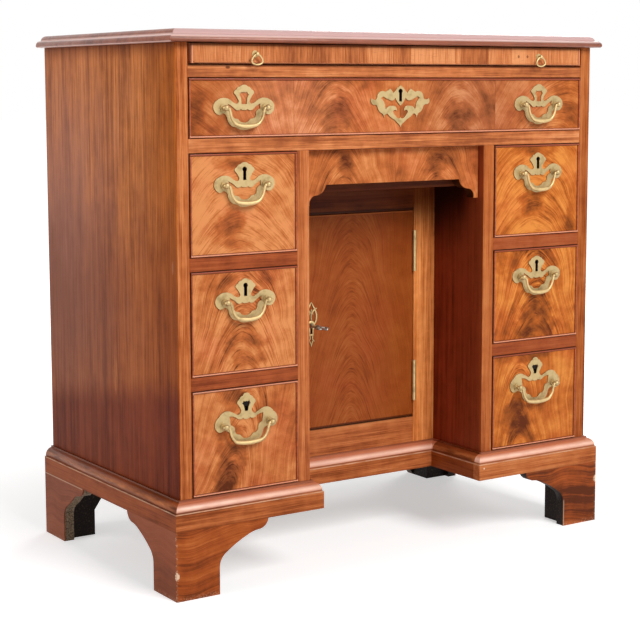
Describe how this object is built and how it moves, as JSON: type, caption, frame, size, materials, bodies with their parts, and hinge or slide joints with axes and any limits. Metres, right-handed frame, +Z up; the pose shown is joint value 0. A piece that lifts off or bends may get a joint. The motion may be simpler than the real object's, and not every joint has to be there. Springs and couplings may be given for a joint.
{
  "type": "kneehole desk",
  "caption": "Mahogany kneehole desk with a pull-out writing slide, cockbeaded drawers on brass bail handles, a recessed cupboard and bracket feet",
  "frame": {"origin": "Bottom centre of the desk's bounding box, on the floor", "axes": "+Z up, -Y is the front with the drawers and the kneehole, +X is the right side seen from the front"},
  "size_m": [0.792, 0.447, 0.8],
  "materials": {
    "mahogany": "waxed solid mahogany",
    "flame_veneer": "polished flame mahogany veneer",
    "secondary_wood": "bare aged pine",
    "drawer_lining": "bare oak lining",
    "brass": "aged cast brass",
    "steel": "worn bright steel"
  },
  "bodies": {
    "carcase": {"top_board": "mahogany", "left_side_panel": "mahogany", "right_side_panel": "mahogany", "left_inner_panel": "mahogany", "right_inner_panel": "mahogany", "back_boards": "secondary_wood", "bottom_boards": "secondary_wood", "slide_rail": "mahogany", "long_rail": "mahogany", "drawer_rails": "mahogany", "drawer_runners": "secondary_wood", "kneehole_soffit": "secondary_wood", "cupboard_frame": "mahogany", "base_moulding": "mahogany", "front_feet": "mahogany", "rear_feet": "mahogany", "hinge_jamb_leaves": "brass"},
    "door": {"cupboard_door": "flame_veneer", "hinge_door_leaves": "brass", "door_lock": "steel", "door_escutcheon": "brass"},
    "bolt": {"door_bolt": "steel"},
    "key": {"door_key": "steel"},
    "slide": {"writing_slide": "mahogany", "slide_pull_eyes": "brass"},
    "left_ring": {"left_slide_ring": "brass"},
    "right_ring": {"right_slide_ring": "brass"},
    "long_drawer": {"long_drawer_front": "flame_veneer", "long_drawer_box": "drawer_lining", "long_drawer_plates": "brass", "long_drawer_escutcheon": "brass", "long_drawer_lock": "steel"},
    "long_left_bail": {"long_drawer_left_bail": "brass"},
    "long_right_bail": {"long_drawer_right_bail": "brass"},
    "apron_drawer": {"apron_front": "flame_veneer", "apron_box": "drawer_lining"},
    "left_upper_drawer": {"left_upper_drawer_front": "flame_veneer", "left_upper_drawer_box": "drawer_lining", "left_upper_drawer_fittings": "brass"},
    "left_upper_bail": {"left_upper_drawer_bail": "brass"},
    "left_middle_drawer": {"left_middle_drawer_front": "flame_veneer", "left_middle_drawer_box": "drawer_lining", "left_middle_drawer_fittings": "brass"},
    "left_middle_bail": {"left_middle_drawer_bail": "brass"},
    "left_lower_drawer": {"left_lower_drawer_front": "flame_veneer", "left_lower_drawer_box": "drawer_lining", "left_lower_drawer_fittings": "brass"},
    "left_lower_bail": {"left_lower_drawer_bail": "brass"},
    "right_upper_drawer": {"right_upper_drawer_front": "flame_veneer", "right_upper_drawer_box": "drawer_lining", "right_upper_drawer_fittings": "brass"},
    "right_upper_bail": {"right_upper_drawer_bail": "brass"},
    "right_middle_drawer": {"right_middle_drawer_front": "flame_veneer", "right_middle_drawer_box": "drawer_lining", "right_middle_drawer_fittings": "brass"},
    "right_middle_bail": {"right_middle_drawer_bail": "brass"},
    "right_lower_drawer": {"right_lower_drawer_front": "flame_veneer", "right_lower_drawer_box": "drawer_lining", "right_lower_drawer_fittings": "brass"},
    "right_lower_bail": {"right_lower_drawer_bail": "brass"}
  },
  "joints": [
    {"name": "door_swing", "type": "hinge", "parent": "carcase", "child": "door", "pos_m": [0.1199, -0.0869, 0.35], "axis": [0, 0, 1], "range_deg": [0, 90]},
    {"name": "key_turn", "type": "hinge", "parent": "door", "child": "key", "pos_m": [-0.0785, -0.0835, 0.35], "axis": [0, -1, 0], "range_deg": [0, 180]},
    {"name": "bolt_throw", "type": "slide", "parent": "door", "child": "bolt", "axis": [-1, 0, 0], "range_m": [0, 0.0091]},
    {"name": "slide_out", "type": "slide", "parent": "carcase", "child": "slide", "axis": [0, -1, 0], "range_m": [0, 0.28]},
    {"name": "left_ring_lift", "type": "hinge", "parent": "slide", "child": "left_ring", "pos_m": [-0.255, -0.2185, 0.766], "axis": [-1, 0, 0], "range_deg": [0, 80]},
    {"name": "right_ring_lift", "type": "hinge", "parent": "slide", "child": "right_ring", "pos_m": [0.268, -0.2185, 0.766], "axis": [-1, 0, 0], "range_deg": [0, 80]},
    {"name": "long_drawer_out", "type": "slide", "parent": "carcase", "child": "long_drawer", "axis": [0, -1, 0], "range_m": [0, 0.3]},
    {"name": "long_left_bail_lift", "type": "hinge", "parent": "long_drawer", "child": "long_left_bail", "pos_m": [-0.272, -0.2189, 0.69125], "axis": [-1, 0, 0], "range_deg": [0, 85]},
    {"name": "long_right_bail_lift", "type": "hinge", "parent": "long_drawer", "child": "long_right_bail", "pos_m": [0.272, -0.2189, 0.69125], "axis": [-1, 0, 0], "range_deg": [0, 85]},
    {"name": "apron_drawer_out", "type": "slide", "parent": "carcase", "child": "apron_drawer", "axis": [0, -1, 0], "range_m": [0, 0.22]},
    {"name": "left_upper_drawer_out", "type": "slide", "parent": "carcase", "child": "left_upper_drawer", "axis": [0, -1, 0], "range_m": [0, 0.3]},
    {"name": "left_upper_bail_lift", "type": "hinge", "parent": "left_upper_drawer", "child": "left_upper_bail", "pos_m": [-0.272, -0.2189, 0.583], "axis": [-1, 0, 0], "range_deg": [0, 85]},
    {"name": "left_middle_drawer_out", "type": "slide", "parent": "carcase", "child": "left_middle_drawer", "axis": [0, -1, 0], "range_m": [0, 0.3]},
    {"name": "left_middle_bail_lift", "type": "hinge", "parent": "left_middle_drawer", "child": "left_middle_bail", "pos_m": [-0.272, -0.2189, 0.418], "axis": [-1, 0, 0], "range_deg": [0, 85]},
    {"name": "left_lower_drawer_out", "type": "slide", "parent": "carcase", "child": "left_lower_drawer", "axis": [0, -1, 0], "range_m": [0, 0.3]},
    {"name": "left_lower_bail_lift", "type": "hinge", "parent": "left_lower_drawer", "child": "left_lower_bail", "pos_m": [-0.272, -0.2189, 0.24], "axis": [-1, 0, 0], "range_deg": [0, 85]},
    {"name": "right_upper_drawer_out", "type": "slide", "parent": "carcase", "child": "right_upper_drawer", "axis": [0, -1, 0], "range_m": [0, 0.3]},
    {"name": "right_upper_bail_lift", "type": "hinge", "parent": "right_upper_drawer", "child": "right_upper_bail", "pos_m": [0.272, -0.2189, 0.583], "axis": [-1, 0, 0], "range_deg": [0, 85]},
    {"name": "right_middle_drawer_out", "type": "slide", "parent": "carcase", "child": "right_middle_drawer", "axis": [0, -1, 0], "range_m": [0, 0.3]},
    {"name": "right_middle_bail_lift", "type": "hinge", "parent": "right_middle_drawer", "child": "right_middle_bail", "pos_m": [0.272, -0.2189, 0.418], "axis": [-1, 0, 0], "range_deg": [0, 85]},
    {"name": "right_lower_drawer_out", "type": "slide", "parent": "carcase", "child": "right_lower_drawer", "axis": [0, -1, 0], "range_m": [0, 0.3]},
    {"name": "right_lower_bail_lift", "type": "hinge", "parent": "right_lower_drawer", "child": "right_lower_bail", "pos_m": [0.272, -0.2189, 0.24], "axis": [-1, 0, 0], "range_deg": [0, 85]}
  ],
  "couplings": [
    {"joint": "bolt_throw", "follows": "key_turn", "m_per_rad": 0.0028648}
  ]
}
